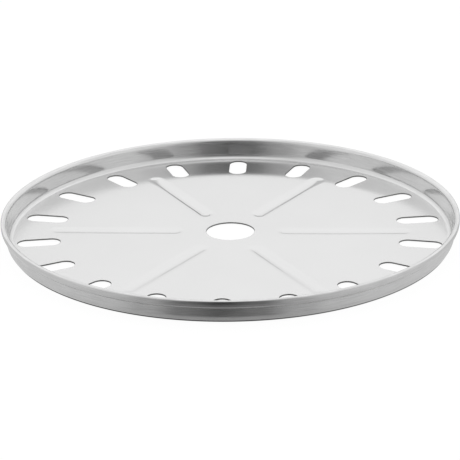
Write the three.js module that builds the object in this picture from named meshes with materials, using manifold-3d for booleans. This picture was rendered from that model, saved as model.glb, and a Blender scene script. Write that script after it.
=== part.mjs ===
// A shallow round tray pressed from stainless sheet: a flat floor with a ring of radial slots, a centre
// hole and radial grooves, a low wall, and a rim rolled outward over a wire.
// Millimetres, +Z up. The origin is on the tray's axis, level with the grooves' undersides, on which it stands.

import * as THREE from 'three';
import { mergeVertices } from 'three/addons/utils/BufferGeometryUtils.js';
import Module from 'manifold-3d';

// The sheet and the tray's overall shape
const RIM_DIAMETER = 320;
const TRAY_DEPTH = 15.5; // from the floor's top face to the top of the rim
const SHEET = 1;
const CORNER_RADIUS = 4; // inside, where the floor turns up into the wall

// The rolled rim and the wire in it
const WIRE_DIAMETER = 1.6;
const WIRE_CLEARANCE = 0.25; // between the wire and the sheet rolled over it
const ROLL_DROP = 1.1; // straight stretch of the roll's outer side
const SEAM_GAP = 0.4; // between the roll's cut edge and the wall

// Grooves pressed down into the floor
const GROOVE_COUNT = 6;
const GROOVE_WIDTH = 10;
const GROOVE_DEPTH = 1;
const GROOVE_FLAT_WIDTH = 2.6; // of the level strip along the bottom of a groove
const GROOVE_TO_HOLE = 17;
const GROOVE_TO_CORNER = 25;

// Slots, centred on the gaps between the grooves
const SLOTS_PER_GROOVE = 3;
const SLOT_LENGTH = 30;
const SLOT_WIDTH = 13;
const SLOT_TO_CORNER = 2.6;

// Centre hole
const HOLE_DIAMETER = 34;

// Facets
const TURN_STEPS = 72;
const CORNER_STEPS = 4;
const ROLL_STEPS = 6;
const LIP_STEPS = 4;
const WIRE_SIDES = 8;
const ROUND_END_STEPS = 6;
const HOLE_STEPS = 36;

// Heights
const FLOOR_BOTTOM = GROOVE_DEPTH;
const FLOOR_TOP = FLOOR_BOTTOM + SHEET;
const RIM_TOP = FLOOR_TOP + TRAY_DEPTH;

// The roll is one sheet thick around the wire, and its inner side runs on from the wall
const RIM_RADIUS = RIM_DIAMETER / 2;
const HOLLOW_RADIUS = WIRE_DIAMETER / 2 + WIRE_CLEARANCE;
const ROLL_RADIUS = HOLLOW_RADIUS + SHEET;
const ROLL_CENTRE = RIM_RADIUS - ROLL_RADIUS;
const ROLL_CENTRE_Z = RIM_TOP - ROLL_RADIUS;
const LIP_CENTRE_Z = ROLL_CENTRE_Z - ROLL_DROP;
const WALL_INSIDE = ROLL_CENTRE - ROLL_RADIUS;
const WALL_OUTSIDE = WALL_INSIDE + SHEET;
const LIP_TURN = Math.acos((WALL_OUTSIDE + SEAM_GAP - ROLL_CENTRE) / ROLL_RADIUS);

// The level floor ends where the corner begins
const FLOOR_RADIUS = WALL_INSIDE - CORNER_RADIUS;
const HOLE_RADIUS = HOLE_DIAMETER / 2;
const SLOT_CENTRE = FLOOR_RADIUS - SLOT_TO_CORNER - SLOT_LENGTH / 2;
const SLOT_COUNT = GROOVE_COUNT * SLOTS_PER_GROOVE;
const GROOVE_START = HOLE_RADIUS + GROOVE_TO_HOLE;
const GROOVE_END = FLOOR_RADIUS - GROOVE_TO_CORNER;
const GROOVE_FLANK = (GROOVE_WIDTH - GROOVE_FLAT_WIDTH) / 2;

const FULL_TURN = 2 * Math.PI;
const QUARTER_TURN = Math.PI / 2;

const wasm = await Module();
wasm.setup();

// A geometry with its shared corners merged, as a solid that can be cut and joined.
function toSolid(geometry) {
  geometry.deleteAttribute('normal');
  geometry.deleteAttribute('uv');
  const welded = mergeVertices(geometry);
  const mesh = new wasm.Mesh({
    numProp: 3,
    vertProperties: welded.attributes.position.array,
    triVerts: Uint32Array.from(welded.index.array),
  });
  return new wasm.Manifold(mesh);
}

function toGeometry(solid) {
  const { vertProperties, triVerts } = solid.getMesh();
  const geometry = new THREE.BufferGeometry();
  geometry.setAttribute('position', new THREE.BufferAttribute(vertProperties, 3));
  geometry.setIndex(new THREE.BufferAttribute(triVerts, 1));
  geometry.computeVertexNormals();
  return geometry;
}

// Points on an arc in a section, where x is the distance from the axis and y the height.
function arc(x, y, radius, from, to, steps) {
  const points = [];
  for (let i = 0; i <= steps; i += 1) {
    const angle = from + ((to - from) * i) / steps;
    points.push(new THREE.Vector2(x + radius * Math.cos(angle), y + radius * Math.sin(angle)));
  }
  return points;
}

// A section turned about the tray's axis.
function turned(section) {
  return toSolid(new THREE.LatheGeometry(section, TURN_STEPS).rotateX(QUARTER_TURN));
}

// A bar outline along X with round ends, from one end's tip to the other's.
function roundEnded(start, end, width) {
  const radius = width / 2;
  const outline = new THREE.Shape();
  outline.absarc(end - radius, 0, radius, -QUARTER_TURN, QUARTER_TURN);
  outline.absarc(start + radius, 0, radius, QUARTER_TURN, 3 * QUARTER_TURN);
  return outline;
}

// The sheet's section: under the floor, up outside the wall, round inside the roll to its cut edge,
// back over the outside of the roll, and down inside the wall to the floor.
function sheetSection() {
  const outerCorner = CORNER_RADIUS + SHEET;
  return [
    new THREE.Vector2(0, FLOOR_BOTTOM),
    ...arc(FLOOR_RADIUS, FLOOR_BOTTOM + outerCorner, outerCorner, -QUARTER_TURN, 0, CORNER_STEPS),
    ...arc(ROLL_CENTRE, ROLL_CENTRE_Z, HOLLOW_RADIUS, Math.PI, 0, ROLL_STEPS),
    ...arc(ROLL_CENTRE, LIP_CENTRE_Z, HOLLOW_RADIUS, 0, -LIP_TURN, LIP_STEPS),
    ...arc(ROLL_CENTRE, LIP_CENTRE_Z, ROLL_RADIUS, -LIP_TURN, 0, LIP_STEPS),
    ...arc(ROLL_CENTRE, ROLL_CENTRE_Z, ROLL_RADIUS, 0, Math.PI, ROLL_STEPS),
    ...arc(FLOOR_RADIUS, FLOOR_TOP + CORNER_RADIUS, CORNER_RADIUS, 0, -QUARTER_TURN, CORNER_STEPS),
    new THREE.Vector2(0, FLOOR_TOP),
  ];
}

// The form of a groove on the +X side, with sloping flanks and its widest outline at the given height.
function grooveForm(height) {
  const flat = roundEnded(GROOVE_START + GROOVE_FLANK, GROOVE_END - GROOVE_FLANK, GROOVE_FLAT_WIDTH);
  const form = new THREE.ExtrudeGeometry(flat, {
    depth: SHEET,
    bevelThickness: GROOVE_DEPTH,
    bevelSize: GROOVE_FLANK,
    bevelSegments: 1,
    curveSegments: ROUND_END_STEPS,
  });
  return form.translate(0, 0, height);
}

// A cutter through the floor, from an outline.
function floorCutter(outline, curveSegments) {
  const cutter = new THREE.ExtrudeGeometry(outline, { depth: 3 * SHEET, bevelEnabled: false, curveSegments });
  return cutter.translate(0, 0, FLOOR_BOTTOM - SHEET);
}

function slotCutter() {
  const outline = roundEnded(SLOT_CENTRE - SLOT_LENGTH / 2, SLOT_CENTRE + SLOT_LENGTH / 2, SLOT_WIDTH);
  return floorCutter(outline, ROUND_END_STEPS);
}

function holeCutter() {
  const outline = new THREE.Shape();
  outline.absarc(0, 0, HOLE_RADIUS, 0, FULL_TURN);
  return floorCutter(outline, HOLE_STEPS);
}

function makeTrayPan() {
  let pan = turned(sheetSection());
  for (let i = 0; i < GROOVE_COUNT; i += 1) {
    const angle = (FULL_TURN * i) / GROOVE_COUNT;
    pan = pan.add(toSolid(grooveForm(FLOOR_BOTTOM).rotateZ(angle)));
    pan = pan.subtract(toSolid(grooveForm(FLOOR_TOP).rotateZ(angle)));
  }
  for (let i = 0; i < SLOT_COUNT; i += 1) {
    const angle = (FULL_TURN * (i + 0.5)) / SLOT_COUNT;
    pan = pan.subtract(toSolid(slotCutter().rotateZ(angle)));
  }
  return pan.subtract(toSolid(holeCutter()));
}

function makeRimWire() {
  return turned(arc(ROLL_CENTRE, ROLL_CENTRE_Z, WIRE_DIAMETER / 2, 0, FULL_TURN, WIRE_SIDES));
}

function makeNode(name, solid, material) {
  const mesh = new THREE.Mesh(toGeometry(solid), material);
  mesh.name = name;
  return mesh;
}

const stainless = new THREE.MeshStandardMaterial({ color: 0xe1e1e1, roughness: 0.25, metalness: 1 });
const galvanised = new THREE.MeshStandardMaterial({ color: 0xa9adb0, roughness: 0.5, metalness: 1 });

const tray = new THREE.Group();
tray.add(makeNode('tray_pan', makeTrayPan(), stainless));
tray.add(makeNode('rim_wire', makeRimWire(), galvanised));

export default tray;
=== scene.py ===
import math
from functools import partial

import bmesh
import bpy
from mathutils import Matrix, Vector
from mathutils.geometry import delaunay_2d_cdt


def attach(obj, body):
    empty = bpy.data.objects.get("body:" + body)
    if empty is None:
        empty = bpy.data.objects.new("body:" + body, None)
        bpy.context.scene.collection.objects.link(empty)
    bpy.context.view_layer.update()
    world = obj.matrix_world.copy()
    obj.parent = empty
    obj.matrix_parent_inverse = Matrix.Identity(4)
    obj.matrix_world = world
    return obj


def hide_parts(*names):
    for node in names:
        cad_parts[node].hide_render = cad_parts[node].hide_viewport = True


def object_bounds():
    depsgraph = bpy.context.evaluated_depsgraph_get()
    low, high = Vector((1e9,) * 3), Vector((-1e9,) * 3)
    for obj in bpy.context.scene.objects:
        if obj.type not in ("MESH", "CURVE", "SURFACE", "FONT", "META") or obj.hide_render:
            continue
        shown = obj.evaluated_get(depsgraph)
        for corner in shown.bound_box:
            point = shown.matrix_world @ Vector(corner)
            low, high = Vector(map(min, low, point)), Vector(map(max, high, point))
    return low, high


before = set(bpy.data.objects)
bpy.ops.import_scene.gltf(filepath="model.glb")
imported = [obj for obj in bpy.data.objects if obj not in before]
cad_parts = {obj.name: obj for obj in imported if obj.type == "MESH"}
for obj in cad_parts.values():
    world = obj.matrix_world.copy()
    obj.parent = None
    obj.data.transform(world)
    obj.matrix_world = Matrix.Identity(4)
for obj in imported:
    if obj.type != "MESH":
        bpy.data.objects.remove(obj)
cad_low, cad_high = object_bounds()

MM = 0.001

# The sheet's section, in millimetres
RIM_RADIUS = cad_high.x / MM
RIM_TOP = cad_high.z / MM
SHEET = 1.0
GROOVE_DEPTH = 1.0
CORNER_RADIUS = 4.0
ROLL_RADIUS = 2.05  # half the roll's width
WALL_DRAFT = 1.0  # degrees that the wall leans outward
INNER_SHOULDER = 3.05  # radius of the roll where it leaves the wall
FLANK_RADIUS = 4.0  # of the roll's outer side, which draws in towards the lip
FLANK_TURN = 40  # degrees
FLANK_DROP = 2.5  # from the rim's top to where that side begins to draw in
LIP_RADIUS = 1.5
SEAM_GAP = 0.4
SEAM_WANDER = 0.3  # how far the seam's gap strays from its mean along the rim
SEAM_WAVES = ((2, 0.5, 0), (17, 0.25, 2.4), (43, 0.25, 0))  # per turn, share of the wander, and start

FLOOR_BOTTOM = GROOVE_DEPTH
FLOOR_TOP = FLOOR_BOTTOM + SHEET
ROLL_CENTRE = RIM_RADIUS - ROLL_RADIUS
FLANK_CENTRE = RIM_RADIUS - FLANK_RADIUS
FLANK_TOP = RIM_TOP - FLANK_DROP
LIP_CENTRE = FLANK_CENTRE + (FLANK_RADIUS - LIP_RADIUS) * math.cos(math.radians(FLANK_TURN))
LIP_CENTRE_Z = FLANK_TOP - (FLANK_RADIUS - LIP_RADIUS) * math.sin(math.radians(FLANK_TURN))
WALL_INSIDE = ROLL_CENTRE - ROLL_RADIUS
OUTER_SHOULDER = 2 * ROLL_RADIUS - INNER_SHOULDER
SHOULDER_CENTRE = WALL_INSIDE + INNER_SHOULDER
WALL_OUTSIDE = WALL_INSIDE + SHEET
WALL_FOOT = WALL_INSIDE - CORNER_RADIUS  # where the floor would end under an upright wall
DRAFT = math.radians(WALL_DRAFT)
BEND = INNER_SHOULDER + CORNER_RADIUS  # the two curves that the leaning wall joins
WALL_RISE = RIM_TOP - FLOOR_TOP - BEND * (1 - math.sin(DRAFT))
FLOOR_RADIUS = SHOULDER_CENTRE - BEND * math.cos(DRAFT) - WALL_RISE * math.tan(DRAFT)

# What is punched in the floor, in millimetres
HOLE_RADIUS = 17.0
SLOT_COUNT = 18
SLOT_LENGTH = 30.0
SLOT_WIDTH = 13.0
SLOT_TO_CORNER = 2.6
PUNCH_ROUND = 0.2  # the top edge that the punch draws in
PUNCH_BREAK = 0.1  # the small broken edge that it leaves underneath

SLOT_TIP = WALL_FOOT - SLOT_TO_CORNER
SLOT_OUT = SLOT_TIP - SLOT_WIDTH / 2
SLOT_IN = SLOT_OUT - SLOT_LENGTH + SLOT_WIDTH
SLOT_TURNS = [360 / SLOT_COUNT * (i + 0.5) for i in range(SLOT_COUNT)]

# The grooves pressed in the floor, in millimetres
GROOVE_COUNT = 6
GROOVE_WIDTH = 10.0  # of the solid's groove, which places the ends of the middle line
GROOVE_FLAT = 4.6  # the level strip along its bottom
GROOVE_FLANK = 2.0  # the slope on each side of that strip
GROOVE_SPREAD = 14.0  # with the sheet that the press drew down beside the groove
GROOVE_SHARE = 0.2  # of the depth, in the groove itself
GROOVE_TO_HOLE = 17.0
GROOVE_TO_CORNER = 25.0
GROOVE_TAPER = 0.4  # depth at the outer tip, as a share of the depth along the rest
GROOVE_TAPER_FROM = 75.0  # distance from the axis at which it begins to grow shallower

GROOVE_END = WALL_FOOT - GROOVE_TO_CORNER
GROOVE_IN = HOLE_RADIUS + GROOVE_TO_HOLE + GROOVE_WIDTH / 2
GROOVE_OUT = GROOVE_END - GROOVE_WIDTH / 2
GROOVE_TURNS = [360 / GROOVE_COUNT * i for i in range(GROOVE_COUNT)]

# The wire in the rim, in millimetres
WIRE_RADIUS = 0.8
WIRE_DROP = 2.75  # from the rim's top to the wire's middle
WIRE_BUTT_GAP = 0.6  # between the two ends of the bent wire

# Steps of the meshes
TURN_STEPS = 360
CORNER_STEPS = 12
SHOULDER_STEPS = 14
LIP_STEPS = 14
WALL_STEPS = 6
HOLLOW_STEPS = 6
GROOVE_RINGS = 28
ROUND_END_STEPS = 16
SLOT_SIDE_STEPS = 8
GROOVE_SIDE_STEPS = 24
HOLE_STEPS = 96
EDGE_STEPS = 5
WIRE_SIDES = 16
HOLD = 0.25  # width of the level strip that keeps the floor flat beside a curve, in millimetres
SHARP_ANGLE = 40  # degrees between faces from which their edge stays sharp
FILL_INSIDE = 1  # the kind of fill that keeps the triangles inside outlines
FILL_TOLERANCE = 1e-5

# The materials of the tray and of the wire, by their places in each piece's list
FLOOR_FINISH, WALL_FINISH, CUT_FINISH = 0, 1, 2
WIRE_FINISH = 0

# Greys and roughness of the metals, between which a noise varies them
FLOOR_GREYS, FLOOR_ROUGHNESS = (0.776, 0.792), (0.08, 0.12)
WALL_GREYS, WALL_ROUGHNESS = (0.7, 0.81), (0.13, 0.22)
# The cut faces' greys are darker than the sheet's: partly the sheared steel's own dull tone, partly painted
# shade in the openings' edges
CUT_AND_SHADE_GREYS, CUT_ROUGHNESS = (0.22, 0.36), (0.35, 0.5)
WIRE_GREYS, WIRE_ROUGHNESS = (0.46, 0.55), (0.42, 0.58)
# How far a noise goes either side of its middle while it varies a value: crisply, evenly or broadly
NOISE_MIDDLE = 0.5
CRISP, EVEN, BROAD = 0.1, 0.2, 0.25

# Grain of the metals. A scale is a number of spots per metre.
FLOOR_GRAIN_SCALE = 2500
FLOOR_TONE_SCALE = 18
FLOOR_WAVE_SCALE = 14
FLOOR_WAVE = 0.02  # height of the sheet's slow waves, in millimetres
FLOOR_SCATTER = 0.08  # share of the light that its grain scatters all ways
LEFT_HAZE = 0.16  # added roughness where the sheet is duller, towards -X
LEFT_HAZE_FROM, LEFT_HAZE_TO = -30, -150  # along X, in millimetres
RIGHT_HAZE = 0.12  # and at its edge towards +X
RIGHT_HAZE_FROM, RIGHT_HAZE_TO = 80, 150
STREAK_CIRCLE = 12  # radius of the circle in the noise that a turn of the tray follows
STREAK_HEIGHT = 0.5  # across a streak, in millimetres
STREAK_SLANT = 0.6  # how much a step away from the axis counts beside a step up
STREAK_DEPTH = 0.004  # in millimetres
STREAK_GLINT = 0.5  # how far the streaks draw out a reflection
GLINT_TURN = 0.25  # across the streaks, as a share of a full turn
SCORE_SCALE = 3000
SCORE_STRETCH = 0.1  # how much a step up a cut face counts beside a step along it
CLOUD_SCALE = 400

# A broken line of painted shade along the seam under the rim, where the wall is also rougher
SEAM_DULL = 0.4  # added roughness
SEAM_DARK = 0.25  # share of the colour that the painted shade takes
SEAM_LOW, SEAM_HIGH = 10.6, 12.2  # heights of the dull strip, in millimetres
SEAM_FADE = 0.5
SEAM_SKIN = (0.2, 0.6)  # how deep in the wall the strip begins and is full, as shares of the sheet
SEAM_SHADE_SCALE = 60
SEAM_SHADE_SHARES = (0.5, 1)  # the least and the most along the broken line

# Studio: how bright it is at an angle from the camera's side, low down and overhead
SIDE_LEVELS = ((0, 0.05), (12, 0.115), (26, 0.4), (40, 0.66), (60, 0.82), (100, 0.9), (150, 1.0))
TOP_LEVELS = ((0, 0.92), (90, 0.8), (150, 1.12))
# The share of the top's light at a height in degrees
TOP_SHARES = ((0, 0), (16, 0.04), (22, 0.075), (30, 0.25), (45, 0.3), (55, 0.45), (63, 0.8), (74, 1))
# The dimmer band above the horizon, and the heights in degrees between which it brightens
HORIZON_LEVELS = ((0, 1), (60, 1), (95, 0.85), (140, 0.85), (165, 0.82), (178, 0.86))
HORIZON_FROM, HORIZON_TO = 8, 26
STUDIO_TURN = -1  # degrees

# How bright the stage is in the metal at an angle from the camera's side: under the slots, then beside the
# tray and away from it, each with the distances from the axis between which it takes over, in millimetres
UNDER_LEVELS = ((0, 0.12), (60, 0.25), (110, 0.45), (135, 0.4), (160, 0.27), (180, 0.18))
BEHIND_LEVELS = ((95, 0.56), (140, 0.5), (175, 0.35))
NEAR_LEVELS = ((0, 0.3), (10, 0.33), (20, 0.42), (30, 0.52), (45, 0.6), (72, 0.66), *BEHIND_LEVELS)
AWAY_LEVELS = ((0, 0.1), (10, 0.18), (20, 0.4), (30, 0.55), (45, 0.63), (72, 0.67), *BEHIND_LEVELS)
FAR_LEVELS = ((0, 0.035), (10, 0.12), (20, 0.37), (30, 0.56), (45, 0.65), (72, 0.68), *BEHIND_LEVELS)
STAGE_BANDS = ((151.2, 154, NEAR_LEVELS), (158, 167, AWAY_LEVELS), (180, 198, FAR_LEVELS))

# The stage's floor as the camera sees it
STAGE_SIZE = 12  # metres
STAGE_GLOW = 0.95
STAGE_GREY = 0.08  # how much it scatters of the studio's light, and so how deep its shadows are

# The line of shade on the stage under the tray's near edge: a ring about a point behind the tray's axis
SHADE_BACK = 2.8  # millimetres
SHADE_FROM, SHADE_TO = 154.5, 155.1  # distances from that point over which it fades out, in millimetres
SHADE_SET_IN = 1  # from the slots' tips outward, over which it sets in, in millimetres
SHADE_LEVEL = 0.02  # how bright it is on the left and in the middle
SHADE_RIGHT = 0.2  # and at the far right
SHADE_END_FROM, SHADE_END_TO = 80, 100  # degrees from the camera's side over which it ends

# Camera, in degrees, metres and pixels of the picture
CAMERA_AZIMUTH = 2.78
CAMERA_ELEVATION = 21.37
CAMERA_ROLL = -0.837
CAMERA_DISTANCE = 1.335
FOCAL_PIXELS = 1897.0
IMAGE_WIDTH = 460
SENSOR_WIDTH = 36  # millimetres
AIM = Vector((0, 0, (FLOOR_BOTTOM + FLOOR_TOP) / 2 * MM))
AIM_RIGHT_PIXELS = 0.4  # the aim's place in the picture, from its centre
AIM_DOWN_PIXELS = 1.58


class Skin:
    """The points and faces of one closed surface, in millimetres."""

    def __init__(self):
        self.points = []
        self.faces = []
        self.finishes = []

    def loop(self, points):
        first = len(self.points)
        self.points.extend(points)
        return list(range(first, len(self.points)))

    def face(self, corners, finish):
        self.faces.append(corners)
        self.finishes.append(finish)

    def bridge(self, loop_a, loop_b, finish):
        for i, corner in enumerate(loop_a):
            after = (i + 1) % len(loop_a)
            self.face((corner, loop_a[after], loop_b[after], loop_b[i]), finish)

    def chain(self, loops, finish):
        for loop_a, loop_b in zip(loops, loops[1:]):
            self.bridge(loop_a, loop_b, finish)

    def close(self, loop, tip, finish):
        """Faces across a long narrow loop, from side to side, starting at its tip."""
        for i in range(len(loop) // 2):
            left, right = tip + i, tip - i
            corners = [loop[place % len(loop)] for place in (left, left + 1, right - 1, right)]
            self.face(tuple(dict.fromkeys(corners)), finish)

    def fill_level(self, loops, finish):
        """Triangles inside the first of these level loops and outside all the others."""
        corners = [corner for loop in loops for corner in loop]
        flat = [Vector(self.points[corner][:2]) for corner in corners]
        outlines = []
        for loop in loops:
            first = sum(len(outline) for outline in outlines)
            outlines.append(list(range(first, first + len(loop))))
        filled = delaunay_2d_cdt(flat, [], outlines, FILL_INSIDE, FILL_TOLERANCE)
        _, _, faces, sources, _, holders = filled
        for face, inside in zip(faces, holders):
            if list(inside) == [0]:
                self.face(tuple(corners[sources[i][0]] for i in face), finish)

    def to_object(self, name, materials):
        mesh = bpy.data.meshes.new(name)
        mesh.from_pydata([Vector(point) * MM for point in self.points], [], self.faces)
        for material in materials:
            mesh.materials.append(material)
        mesh.polygons.foreach_set("material_index", self.finishes)
        shape = bmesh.new()
        shape.from_mesh(mesh)
        bmesh.ops.recalc_face_normals(shape, faces=shape.faces)
        shape.to_mesh(mesh)
        shape.free()
        mesh.polygons.foreach_set("use_smooth", [True] * len(mesh.polygons))
        mesh.set_sharp_from_angle(angle=math.radians(SHARP_ANGLE))
        made = bpy.data.objects.new(name, mesh)
        bpy.context.scene.collection.objects.link(made)
        return made


def arc(x, y, radius, start, end, steps):
    """Points on an arc from start to end, in degrees."""
    points = []
    for i in range(steps + 1):
        angle = math.radians(start + (end - start) * i / steps)
        points.append((x + radius * math.cos(angle), y + radius * math.sin(angle)))
    return points


def line(start, end, steps):
    """Points along a straight line, without its two ends."""
    points = []
    for i in range(1, steps):
        share = i / steps
        points.append((start[0] + (end[0] - start[0]) * share, start[1] + (end[1] - start[1]) * share))
    return points


def circle(x, y, radius, steps):
    return arc(x, y, radius, 0, 360, steps)[:-1]


def bar(start, end, radius, side_steps):
    """Points round a bar with round ends, which lies along X."""
    outer_end = arc(end, 0, radius, -90, 90, ROUND_END_STEPS)
    inner_end = arc(start, 0, radius, 90, 270, ROUND_END_STEPS)
    outline = outer_end + line(outer_end[-1], inner_end[0], side_steps)
    return outline + inner_end + line(inner_end[-1], outer_end[0], side_steps)


def turned(points, degrees):
    """Points turned about the tray's axis."""
    cosine, sine = math.cos(math.radians(degrees)), math.sin(math.radians(degrees))
    return [(x * cosine - y * sine, x * sine + y * cosine, z) for x, y, z in points]


def hole_ring(out, height):
    return [(x, y, height) for x, y in circle(0, 0, HOLE_RADIUS + out, HOLE_STEPS)]


def slot_ring(turn, out, height):
    outline = bar(SLOT_IN, SLOT_OUT, SLOT_WIDTH / 2 + out, SLOT_SIDE_STEPS)
    return turned([(x, y, height) for x, y in outline], turn)


def punched_edge():
    """How far out and how high each ring of a punched edge lies, from the top face to the bottom one."""
    edge = [(PUNCH_ROUND + HOLD, FLOOR_TOP)]
    edge += arc(PUNCH_ROUND, FLOOR_TOP - PUNCH_ROUND, PUNCH_ROUND, 90, 180, EDGE_STEPS)
    edge += [(0, FLOOR_BOTTOM + PUNCH_BREAK), (PUNCH_BREAK, FLOOR_BOTTOM)]
    edge += [(PUNCH_BREAK + HOLD, FLOOR_BOTTOM)]
    return edge


def add_opening(skin, ring):
    """A punched opening. Gives the loops that the level floor starts from, on its top and bottom face."""
    loops = [skin.loop(ring(out, height)) for out, height in punched_edge()]
    skin.chain(loops[:2], FLOOR_FINISH)
    skin.chain(loops[1:-1], CUT_FINISH)
    skin.chain(loops[-2:], FLOOR_FINISH)
    return loops[0], loops[-1]


def trough(distance, flat, flank):
    """A smooth dip: 1 on its flat bottom, 0 beyond its flank, and level at both."""
    share = min(max((distance - flat / 2) / flank, 0), 1)
    return (1 + math.cos(math.pi * share)) / 2


def groove_depth(distance):
    """Depth at a distance from a groove's middle line: a narrow trough in a wide shallow one."""
    narrow = trough(distance, GROOVE_FLAT, GROOVE_FLANK)
    wide = trough(distance, 0, GROOVE_SPREAD / 2)
    return GROOVE_DEPTH * (GROOVE_SHARE * narrow + (1 - GROOVE_SHARE) * wide)


def groove_taper(along):
    """The share of a groove's depth that is left at a distance from the axis."""
    done = (along - GROOVE_TAPER_FROM) / (GROOVE_END - GROOVE_TAPER_FROM)
    return 1 - (1 - GROOVE_TAPER) * min(max(done, 0), 1)


def groove_ring(distance, turn, level):
    """Points at a distance from a groove's middle line, on the face that is at level beside the groove."""
    depth = groove_depth(distance)
    outline = bar(GROOVE_IN, GROOVE_OUT, distance, GROOVE_SIDE_STEPS)
    ring = [(along, across, level - depth * groove_taper(along)) for along, across in outline]
    return turned(ring, turn)


def add_groove(skin, turn, level):
    """One side of a groove, top or bottom. Gives the loop that the level floor starts from."""
    half = GROOVE_SPREAD / 2
    distances = [half + HOLD] + [half * (1 - i / GROOVE_RINGS) for i in range(GROOVE_RINGS)]
    loops = [skin.loop(groove_ring(distance, turn, level)) for distance in distances]
    skin.chain(loops, FLOOR_FINISH)
    skin.close(loops[-1], ROUND_END_STEPS // 2, FLOOR_FINISH)
    return loops[0]


def seam_gap(angle):
    """The gap between the rim's cut edge and the wall, which wanders along the rim."""
    wander = sum(share * math.sin(count * angle + start) for count, share, start in SEAM_WAVES)
    return SEAM_GAP + SEAM_WANDER * wander


def shoulders(depth, steps):
    """The roll's top at a depth in the sheet, from the wall over to the outer side."""
    wall_end = 180 - WALL_DRAFT
    inner = arc(SHOULDER_CENTRE, RIM_TOP - INNER_SHOULDER, INNER_SHOULDER - depth, wall_end, 90, steps)
    outer = arc(SHOULDER_CENTRE, RIM_TOP - OUTER_SHOULDER, OUTER_SHOULDER - depth, 90, 0, steps)
    return inner + outer[1:]


def outer_side(depth, lip_turn):
    """The roll's outer side at a depth in the sheet, from its top down and round the lip."""
    flank = arc(FLANK_CENTRE, FLANK_TOP, FLANK_RADIUS - depth, 0, -FLANK_TURN, LIP_STEPS)
    lip = arc(LIP_CENTRE, LIP_CENTRE_Z, LIP_RADIUS - depth, -FLANK_TURN, -lip_turn, LIP_STEPS)
    return flank + lip[1:]


def section(angle):
    """The sheet's section beyond the floor at this angle, from the floor's top face to its bottom one."""
    lip_turn = math.degrees(math.acos((WALL_OUTSIDE + seam_gap(angle) - LIP_CENTRE) / LIP_RADIUS))
    outer_corner = CORNER_RADIUS + SHEET
    inner = arc(FLOOR_RADIUS, FLOOR_TOP + CORNER_RADIUS, CORNER_RADIUS, -90, -WALL_DRAFT, CORNER_STEPS)
    roll = shoulders(0, SHOULDER_STEPS)
    hollow = shoulders(SHEET, HOLLOW_STEPS)[::-1]
    outer = arc(FLOOR_RADIUS, FLOOR_BOTTOM + outer_corner, outer_corner, -WALL_DRAFT, -90, CORNER_STEPS)
    points = [(FLOOR_RADIUS - HOLD, FLOOR_TOP), *inner]
    points += line(inner[-1], roll[0], WALL_STEPS) + roll
    points += outer_side(0, lip_turn) + outer_side(SHEET, lip_turn)[::-1] + hollow
    points += line(hollow[-1], outer[0], WALL_STEPS) + outer
    points += [(FLOOR_RADIUS - HOLD, FLOOR_BOTTOM)]
    return points


def add_wall(skin):
    """The corner, wall and rim. Gives the loops that the level floor ends at, on its top and bottom face."""
    angles = [math.tau * i / TURN_STEPS for i in range(TURN_STEPS)]
    sections = [section(angle) for angle in angles]
    rings = []
    for step in range(len(sections[0])):
        ring = []
        for angle, points in zip(angles, sections):
            radius, height = points[step]
            ring.append((radius * math.cos(angle), radius * math.sin(angle), height))
        rings.append(skin.loop(ring))
    skin.chain(rings, WALL_FINISH)
    return rings[0], rings[-1]


def make_tray(materials):
    """The pressed sheet, whose level floor fills what the wall, the openings and the grooves leave."""
    skin = Skin()
    edges = [add_wall(skin), add_opening(skin, hole_ring)]
    for turn in SLOT_TURNS:
        edges.append(add_opening(skin, partial(slot_ring, turn)))
    for turn in GROOVE_TURNS:
        edges.append((add_groove(skin, turn, FLOOR_TOP), add_groove(skin, turn, FLOOR_BOTTOM)))
    for loops in zip(*edges):
        skin.fill_level(loops, FLOOR_FINISH)
    return skin.to_object("tray_sheet", materials)


def make_wire(materials):
    """The hoop of wire in the rim, bent from one length, with its two ends butted."""
    skin = Skin()
    gap = WIRE_BUTT_GAP / ROLL_CENTRE
    ring = circle(ROLL_CENTRE, RIM_TOP - WIRE_DROP, WIRE_RADIUS, WIRE_SIDES)
    loops = []
    for i in range(TURN_STEPS + 1):
        angle = gap / 2 + (math.tau - gap) * i / TURN_STEPS
        points = [(radius * math.cos(angle), radius * math.sin(angle), height) for radius, height in ring]
        loops.append(skin.loop(points))
    skin.chain(loops, WIRE_FINISH)
    skin.face(tuple(loops[0]), WIRE_FINISH)
    skin.face(tuple(loops[-1]), WIRE_FINISH)
    return skin.to_object("rim_wire_hoop", materials)


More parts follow.
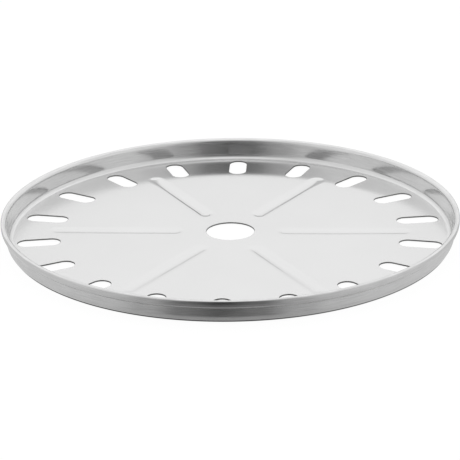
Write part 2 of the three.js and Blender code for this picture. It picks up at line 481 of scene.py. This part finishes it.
class Nodes:
    """Short calls that add nodes to a tree and join them. An input is a socket or a plain value."""

    def __init__(self, tree):
        self.tree = tree

    def add(self, kind, settings=None, **inputs):
        node = self.tree.nodes.new("ShaderNode" + kind)
        for name, value in (settings or {}).items():
            setattr(node, name, value)
        for name, value in inputs.items():
            self.put(node, name.replace("_", " "), value)
        return node

    def put(self, node, name, value):
        if isinstance(value, bpy.types.NodeSocket):
            self.tree.links.new(value, node.inputs[name])
        else:
            node.inputs[name].default_value = value

    def math(self, operation, first, second=0.0):
        node = self.add("Math", {"operation": operation})
        self.put(node, 0, first)
        self.put(node, 1, second)
        return node.outputs[0]

    def distance(self, first, second=(0, 0, 0)):
        node = self.add("VectorMath", {"operation": "DISTANCE"})
        self.put(node, 0, first)
        self.put(node, 1, second)
        return node.outputs["Value"]

    def ease(self, value, low, high, at_low, at_high):
        """A smooth step from at_low to at_high as value goes from low to high."""
        settings = {"interpolation_type": "SMOOTHSTEP"}
        inputs = {"From_Min": low, "From_Max": high, "To_Min": at_low, "To_Max": at_high}
        return self.add("MapRange", settings, Value=value, **inputs).outputs["Result"]

    def vary(self, noise, ends, reach):
        """A value that follows a noise from one end to the other, over a reach either side of its middle."""
        return self.ease(noise, NOISE_MIDDLE - reach, NOISE_MIDDLE + reach, *ends)

    def levels(self, angle, stops):
        """A smooth curve through (degrees, level) pairs, the first of them at 0, for an angle in radians."""
        node = self.add("ValToRGB", Fac=self.math("DIVIDE", angle, math.pi))
        node.color_ramp.interpolation = "EASE"
        marks = node.color_ramp.elements
        marks.remove(marks[1])
        for i, (degrees, level) in enumerate(stops):
            mark = marks[0] if i == 0 else marks.new(degrees / 180)
            mark.color = (level, level, level, 1)
        return node.outputs["Color"]

    def place(self):
        """The point on the piece, in the frame's metres."""
        return self.add("TexCoord").outputs["Object"]

    def parts(self, vector):
        """A vector's X, Y and Z."""
        return self.add("SeparateXYZ", Vector=vector).outputs

    def noise(self, vector, scale, detail):
        node = self.add("TexNoise", Vector=vector, Scale=scale, Detail=detail)
        return node.outputs["Fac"]

    def grey(self, value):
        """The same value as red, green and blue."""
        return self.add("CombineColor", Red=value, Green=value, Blue=value).outputs["Color"]

    def bump(self, shader, height, distance):
        node = self.add("Bump", Strength=1.0, Distance=distance * MM, Height=height)
        self.put(shader, "Normal", node.outputs["Normal"])


def new_material(name):
    material = bpy.data.materials.new(name)
    material.use_nodes = True
    return material, Nodes(material.node_tree), material.node_tree.nodes["Principled BSDF"]


def stainless_floor():
    """Bright satin sheet as it leaves the press: a fine even grain on a surface that is a little wavy."""
    material, nodes, shader = new_material("stainless_satin_floor")
    place = nodes.place()
    parts = nodes.parts(place)
    grain = nodes.noise(place, FLOOR_GRAIN_SCALE, detail=2)
    tone = nodes.noise(place, FLOOR_TONE_SCALE, detail=3)
    wave = nodes.noise(place, FLOOR_WAVE_SCALE, detail=1)
    nodes.put(shader, "Base Color", nodes.grey(nodes.vary(tone, FLOOR_GREYS, BROAD)))
    left = nodes.ease(parts["X"], LEFT_HAZE_TO * MM, LEFT_HAZE_FROM * MM, LEFT_HAZE, 0)
    right = nodes.ease(parts["X"], RIGHT_HAZE_FROM * MM, RIGHT_HAZE_TO * MM, 0, RIGHT_HAZE)
    haze = nodes.math("ADD", left, right)
    nodes.put(shader, "Roughness", nodes.math("ADD", nodes.vary(grain, FLOOR_ROUGHNESS, EVEN), haze))
    nodes.put(shader, "Metallic", 1 - FLOOR_SCATTER)
    nodes.bump(shader, wave, FLOOR_WAVE)
    return material


def painted_seam_shade_strip(nodes, place, radius, height):
    """1 along the seam outside the wall, where painted shade darkens the metal in a broken line and the
    metal is made rougher, and 0 elsewhere.
    """
    low, high, fade = SEAM_LOW * MM, SEAM_HIGH * MM, SEAM_FADE * MM
    above = nodes.ease(height, low - fade, low + fade, 0, 1)
    below = nodes.ease(height, high - fade, high + fade, 1, 0)
    skin = [(WALL_INSIDE + share * SHEET) * MM for share in SEAM_SKIN]
    outside = nodes.ease(radius, *skin, 0, 1)
    broken = nodes.vary(nodes.noise(place, SEAM_SHADE_SCALE, detail=3), SEAM_SHADE_SHARES, CRISP)
    strip = nodes.math("MULTIPLY", above, below)
    return nodes.math("MULTIPLY", nodes.math("MULTIPLY", strip, outside), broken)


def streak_noise(nodes, parts, radius):
    """A noise drawn out into streaks along the tray's turn."""
    around = nodes.math("DIVIDE", STREAK_CIRCLE, radius)
    across = nodes.math("ADD", nodes.math("MULTIPLY", radius, STREAK_SLANT), parts["Z"])
    place = nodes.add(
        "CombineXYZ",
        X=nodes.math("MULTIPLY", parts["X"], around),
        Y=nodes.math("MULTIPLY", parts["Y"], around),
        Z=nodes.math("DIVIDE", across, STREAK_HEIGHT * MM),
    )
    return nodes.noise(place.outputs["Vector"], scale=1, detail=3)


def stainless_wall():
    """The same sheet brushed round the wall and rim, in fine streaks along the tray's turn."""
    material, nodes, shader = new_material("stainless_brushed_wall")
    place = nodes.place()
    parts = nodes.parts(place)
    radius = nodes.distance(nodes.add("CombineXYZ", X=parts["X"], Y=parts["Y"]).outputs["Vector"])
    streak = streak_noise(nodes, parts, radius)
    # Painted shade under the rim's lip: along the seam the wall's colour is darkened in a broken line, and
    # its roughness is raised
    seam = painted_seam_shade_strip(nodes, place, radius, parts["Z"])
    kept = nodes.math("SUBTRACT", 1, nodes.math("MULTIPLY", seam, SEAM_DARK))
    clean = nodes.vary(streak, WALL_GREYS, BROAD)
    nodes.put(shader, "Base Color", nodes.grey(nodes.math("MULTIPLY", clean, kept)))
    dull = nodes.math("MULTIPLY", seam, SEAM_DULL)
    nodes.put(shader, "Roughness", nodes.math("ADD", nodes.vary(streak, WALL_ROUGHNESS, EVEN), dull))
    nodes.put(shader, "Metallic", 1)
    nodes.put(shader, "Anisotropic", STREAK_GLINT)
    nodes.put(shader, "Anisotropic Rotation", GLINT_TURN)
    turn = nodes.add("Tangent", {"direction_type": "RADIAL", "axis": "Z"})
    nodes.put(shader, "Tangent", turn.outputs["Tangent"])
    nodes.bump(shader, streak, STREAK_DEPTH)
    return material


def sheared_edge():
    """The dull cut face that the punch leaves, scored from top to bottom, in a dark grey that is partly the
    cut steel's own tone and partly painted shade.
    """
    material, nodes, shader = new_material("stainless_sheared_edge")
    stretched = nodes.add("Mapping", Vector=nodes.place(), Scale=(1, 1, SCORE_STRETCH))
    score = nodes.noise(stretched.outputs["Vector"], SCORE_SCALE, detail=2)
    nodes.put(shader, "Base Color", nodes.grey(nodes.vary(score, CUT_AND_SHADE_GREYS, EVEN)))
    nodes.put(shader, "Roughness", nodes.vary(score, CUT_ROUGHNESS, EVEN))
    nodes.put(shader, "Metallic", 1)
    return material


def galvanised_wire():
    """Dull zinc-coated wire, clouded."""
    material, nodes, shader = new_material("galvanised_wire")
    cloud = nodes.noise(nodes.place(), CLOUD_SCALE, detail=3)
    nodes.put(shader, "Base Color", nodes.grey(nodes.vary(cloud, WIRE_GREYS, EVEN)))
    nodes.put(shader, "Roughness", nodes.vary(cloud, WIRE_ROUGHNESS, EVEN))
    nodes.put(shader, "Metallic", 1)
    return material


def make_camera():
    azimuth, elevation = math.radians(CAMERA_AZIMUTH), math.radians(CAMERA_ELEVATION)
    back = Vector((math.sin(azimuth), -math.cos(azimuth), math.tan(elevation))).normalized()
    data = bpy.data.cameras.new("camera")
    data.sensor_width = SENSOR_WIDTH
    data.lens = SENSOR_WIDTH * FOCAL_PIXELS / IMAGE_WIDTH
    data.shift_x = -AIM_RIGHT_PIXELS / IMAGE_WIDTH
    data.shift_y = AIM_DOWN_PIXELS / IMAGE_WIDTH
    camera = bpy.data.objects.new("camera", data)
    camera.rotation_mode = "QUATERNION"
    roll = Matrix.Rotation(math.radians(CAMERA_ROLL), 3, "Z").to_quaternion()
    camera.rotation_quaternion = back.to_track_quat("Z", "Y") @ roll
    camera.location = AIM + back * CAMERA_DISTANCE
    bpy.context.scene.collection.objects.link(camera)
    bpy.context.scene.camera = camera


def azimuth_from_front(nodes, parts):
    """The angle round the tray from the side nearest the camera, in radians, from 0 to a half turn."""
    back = nodes.math("MULTIPLY", parts["Y"], -1)
    return nodes.math("ABSOLUTE", nodes.math("ARCTAN2", parts["X"], back))


def make_world():
    """A white studio, open behind the tray and darker low down on the camera's side."""
    world = bpy.data.worlds.new("studio")
    bpy.context.scene.world = world
    world.use_nodes = True
    nodes = Nodes(world.node_tree)
    direction = nodes.add("TexCoord").outputs["Generated"]
    swung = nodes.add("Mapping", Vector=direction, Rotation=(0, 0, math.radians(STUDIO_TURN)))
    parts = nodes.parts(swung.outputs["Vector"])
    azimuth = azimuth_from_front(nodes, parts)
    height = nodes.math("ARCSINE", parts["Z"])
    mix = nodes.add("MixRGB", Fac=nodes.levels(height, TOP_SHARES))
    nodes.put(mix, "Color1", nodes.levels(azimuth, SIDE_LEVELS))
    nodes.put(mix, "Color2", nodes.levels(azimuth, TOP_LEVELS))
    background = world.node_tree.nodes["Background"]
    nodes.put(background, "Color", mix.outputs["Color"])
    horizon = nodes.levels(azimuth, HORIZON_LEVELS)
    ends = math.radians(HORIZON_FROM), math.radians(HORIZON_TO)
    nodes.put(background, "Strength", nodes.ease(height, *ends, horizon, 1))


def stage_in_metal(nodes, radius, azimuth):
    """The stage as the metal mirrors it: dark under the slots, and darker with distance in front."""
    tone = nodes.levels(azimuth, UNDER_LEVELS)
    for start, end, stops in STAGE_BANDS:
        tone = nodes.ease(radius, start * MM, end * MM, tone, nodes.levels(azimuth, stops))
    return nodes.add("Emission", Strength=tone).outputs[0]


def open_stage(nodes, place, parts, radius, azimuth):
    """1 on the open stage and through the slots, and dark along the line of shade under the near edge."""
    level = nodes.ease(parts["X"], 0, RIM_RADIUS * MM, SHADE_LEVEL, SHADE_RIGHT)
    distance = nodes.distance(place, (0, SHADE_BACK * MM, 0))
    shade = nodes.ease(distance, SHADE_FROM * MM, SHADE_TO * MM, level, 1)
    inside = nodes.ease(radius, SLOT_TIP * MM, (SLOT_TIP + SHADE_SET_IN) * MM, 1, 0)
    behind = nodes.ease(azimuth, math.radians(SHADE_END_FROM), math.radians(SHADE_END_TO), 0, 1)
    return nodes.math("MAXIMUM", nodes.math("MAXIMUM", shade, inside), behind)


def stage_white():
    """White to the camera, with the tray's soft shadow, and darker in the metal."""
    material, nodes, shader = new_material("floor_white")
    nodes.tree.nodes.remove(shader)
    place = nodes.place()
    parts = nodes.parts(place)
    radius = nodes.distance(place)
    azimuth = azimuth_from_front(nodes, parts)
    shadow = nodes.add("BsdfDiffuse", Color=(STAGE_GREY, STAGE_GREY, STAGE_GREY, 1))
    clear = open_stage(nodes, place, parts, radius, azimuth)
    glow = nodes.add("Emission", Strength=nodes.math("MULTIPLY", clear, STAGE_GLOW))
    white = nodes.add("AddShader")
    nodes.put(white, 0, shadow.outputs[0])
    nodes.put(white, 1, glow.outputs[0])
    mix = nodes.add("MixShader", Fac=nodes.add("LightPath").outputs["Is Glossy Ray"])
    nodes.put(mix, 1, white.outputs[0])
    nodes.put(mix, 2, stage_in_metal(nodes, radius, azimuth))
    nodes.put(nodes.tree.nodes["Material Output"], "Surface", mix.outputs[0])
    return material


def make_stage():
    bpy.ops.mesh.primitive_plane_add(size=STAGE_SIZE)
    floor = bpy.context.object
    floor.name = "floor"
    floor.data.materials.append(stage_white())


tray = make_tray([stainless_floor(), stainless_wall(), sheared_edge()])
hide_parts("tray_pan")
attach(tray, "root")

wire = make_wire([galvanised_wire()])
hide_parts("rim_wire")
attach(wire, "root")

make_camera()
make_world()
make_stage()
bpy.context.scene.view_settings.view_transform = "Standard"
